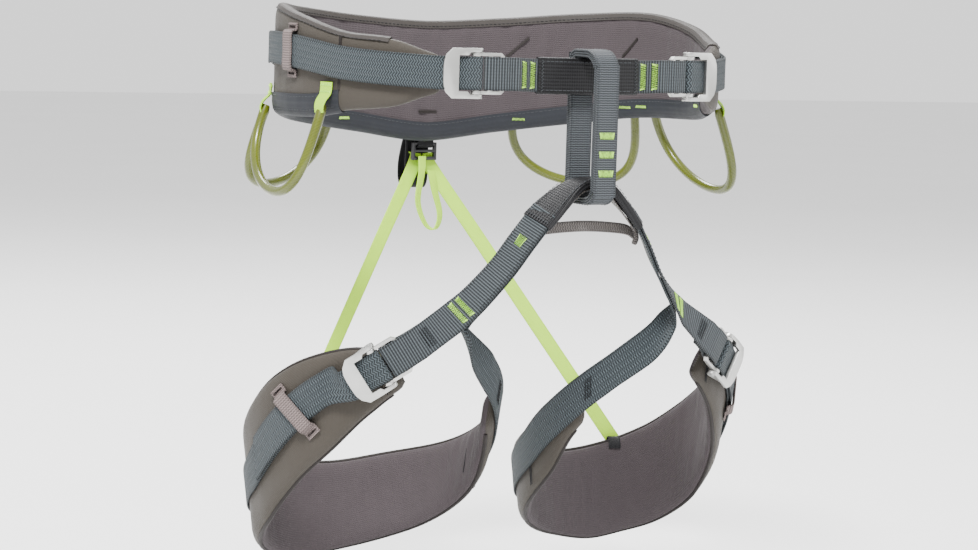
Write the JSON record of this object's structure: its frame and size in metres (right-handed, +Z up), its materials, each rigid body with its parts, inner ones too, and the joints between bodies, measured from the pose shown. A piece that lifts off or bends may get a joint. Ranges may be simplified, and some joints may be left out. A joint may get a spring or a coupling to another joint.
{
  "type": "climbing harness",
  "caption": "Climbing harness with padded waist belt, padded leg loops, belay loop, tilting buckles, gear loops and elastic rear risers.",
  "frame": {"origin": "centre of the waist opening, at the height of the front strap's lower half", "axes": "+Z up, +X towards the wearer's left, -Y towards the front where the belay loop hangs"},
  "size_m": [0.3578, 0.2664, 0.3693],
  "materials": {
    "pad_outer_fabric": "satin",
    "pad_lining_fabric": "matte",
    "pad_foam": "matte",
    "edge_binding": "matte",
    "harness_webbing": "satin",
    "tie_in_sleeve": "matte",
    "elastic_webbing": "matte",
    "buckle_metal": "satin",
    "gear_loop_plastic": "gloss",
    "lime_elastic": "matte",
    "black_tape": "matte",
    "black_plastic": "gloss"
  },
  "bodies": {
    "waist_belt": {"waist_foam": "pad_foam", "waist_lining": "pad_lining_fabric", "waist_shell": "pad_outer_fabric", "waist_top_binding": "edge_binding", "waist_lower_band": "edge_binding", "waist_webbing": "harness_webbing", "front_strap": "harness_webbing", "front_tie_in_sleeve": "tie_in_sleeve", "lower_tie_in_webbing": "harness_webbing", "lower_tie_in_sleeve": "tie_in_sleeve", "lower_tie_in_lining": "elastic_webbing", "leg_cross_strap": "elastic_webbing", "riser_buckle": "black_plastic", "riser_anchor_tape": "black_tape", "riser_tail_loop": "lime_elastic", "waist_buckle_link_left": "buckle_metal", "waist_buckle_pin_left": "buckle_metal", "waist_keeper_left": "elastic_webbing", "gear_tab_front_left_1": "lime_elastic", "gear_tab_front_left_2": "lime_elastic", "gear_tab_rear_left_1": "lime_elastic", "gear_tab_rear_left_2": "lime_elastic", "waist_buckle_link_right": "buckle_metal", "waist_buckle_pin_right": "buckle_metal", "waist_keeper_right": "elastic_webbing", "gear_tab_front_right_1": "lime_elastic", "gear_tab_front_right_2": "lime_elastic", "gear_tab_rear_right_1": "lime_elastic", "gear_tab_rear_right_2": "lime_elastic"},
    "belay_loop": {"belay_loop": "harness_webbing"},
    "haul_loop": {"haul_loop": "black_tape"},
    "leg_loop_left": {"leg_foam_left": "pad_foam", "leg_lining_left": "pad_lining_fabric", "leg_shell_left": "pad_outer_fabric", "leg_webbing_left": "harness_webbing", "leg_strap_left": "harness_webbing", "leg_keeper_left": "elastic_webbing", "leg_buckle_link_left": "buckle_metal", "leg_buckle_pin_left": "buckle_metal", "riser_tab_left": "black_tape", "riser_left": "lime_elastic"},
    "gear_loop_front_left": {"gear_loop_front_left": "gear_loop_plastic"},
    "gear_loop_rear_left": {"gear_loop_rear_left": "gear_loop_plastic"},
    "waist_buckle_frame_left": {"waist_buckle_frame_left": "buckle_metal"},
    "leg_buckle_frame_left": {"leg_buckle_frame_left": "buckle_metal"},
    "leg_loop_right": {"leg_foam_right": "pad_foam", "leg_lining_right": "pad_lining_fabric", "leg_shell_right": "pad_outer_fabric", "leg_webbing_right": "harness_webbing", "leg_strap_right": "harness_webbing", "leg_keeper_right": "elastic_webbing", "leg_buckle_link_right": "buckle_metal", "leg_buckle_pin_right": "buckle_metal", "riser_tab_right": "black_tape", "riser_right": "lime_elastic"},
    "gear_loop_front_right": {"gear_loop_front_right": "gear_loop_plastic"},
    "gear_loop_rear_right": {"gear_loop_rear_right": "gear_loop_plastic"},
    "waist_buckle_frame_right": {"waist_buckle_frame_right": "buckle_metal"},
    "leg_buckle_frame_right": {"leg_buckle_frame_right": "buckle_metal"}
  },
  "joints": [
    {"name": "belay_loop_swing", "type": "hinge", "parent": "waist_belt", "child": "belay_loop", "pos_m": [0, -0.11005, 0.004], "axis": [1, 0, 0], "range_deg": [-3, 3]},
    {"name": "haul_loop_swing", "type": "hinge", "parent": "waist_belt", "child": "haul_loop", "pos_m": [0.003, 0.1185, -0.04], "axis": [1, 0, 0], "range_deg": [-3, 75]},
    {"name": "leg_loop_swing_left", "type": "hinge", "parent": "waist_belt", "child": "leg_loop_left", "pos_m": [0.038, -0.117, -0.0878], "axis": [1, 0, 0], "range_deg": [-18, 12], "stiffness_Nm_per_rad": 3, "springref_deg": 2.86, "deforming": ["riser_left", "leg_cross_strap"]},
    {"name": "gear_loop_front_left_swing", "type": "hinge", "parent": "waist_belt", "child": "gear_loop_front_left", "pos_m": [0.15065, 0.00361, -0.02068], "axis": [-0.0052, -0.9989, 0.0468], "range_deg": [-15, 75], "stiffness_Nm_per_rad": 0.02, "springref_deg": 2.86},
    {"name": "gear_loop_rear_left_swing", "type": "hinge", "parent": "waist_belt", "child": "gear_loop_rear_left", "pos_m": [0.10817, 0.08206, -0.02901], "axis": [0.8224, -0.5551, 0.1248], "range_deg": [-15, 75], "stiffness_Nm_per_rad": 0.02, "springref_deg": 2.86},
    {"name": "waist_buckle_tilt_left", "type": "hinge", "parent": "waist_belt", "child": "waist_buckle_frame_left", "pos_m": [0.07916, -0.10735, 0.00474], "axis": [0, 0, -1], "range_deg": [0, 30]},
    {"name": "leg_buckle_tilt_left", "type": "hinge", "parent": "leg_loop_left", "child": "leg_buckle_frame_left", "pos_m": [0.12899, -0.08343, -0.18142], "axis": [-0.5258, -0.169, -0.8336], "range_deg": [0, 30]},
    {"name": "leg_loop_swing_right", "type": "hinge", "parent": "waist_belt", "child": "leg_loop_right", "pos_m": [-0.038, -0.117, -0.0878], "axis": [1, 0, 0], "range_deg": [-18, 12], "stiffness_Nm_per_rad": 3, "springref_deg": 2.86, "deforming": ["riser_right"]},
    {"name": "gear_loop_front_right_swing", "type": "hinge", "parent": "waist_belt", "child": "gear_loop_front_right", "pos_m": [-0.15065, 0.00361, -0.02068], "axis": [-0.0052, 0.9989, -0.0468], "range_deg": [-15, 75], "stiffness_Nm_per_rad": 0.02, "springref_deg": 2.86},
    {"name": "gear_loop_rear_right_swing", "type": "hinge", "parent": "waist_belt", "child": "gear_loop_rear_right", "pos_m": [-0.10817, 0.08206, -0.02901], "axis": [0.8224, 0.5551, -0.1248], "range_deg": [-15, 75], "stiffness_Nm_per_rad": 0.02, "springref_deg": 2.86},
    {"name": "waist_buckle_tilt_right", "type": "hinge", "parent": "waist_belt", "child": "waist_buckle_frame_right", "pos_m": [-0.07916, -0.10735, 0.00474], "axis": [0, 0, 1], "range_deg": [0, 30]},
    {"name": "leg_buckle_tilt_right", "type": "hinge", "parent": "leg_loop_right", "child": "leg_buckle_frame_right", "pos_m": [-0.12899, -0.08343, -0.18142], "axis": [-0.5258, 0.169, 0.8336], "range_deg": [0, 30]}
  ]
}
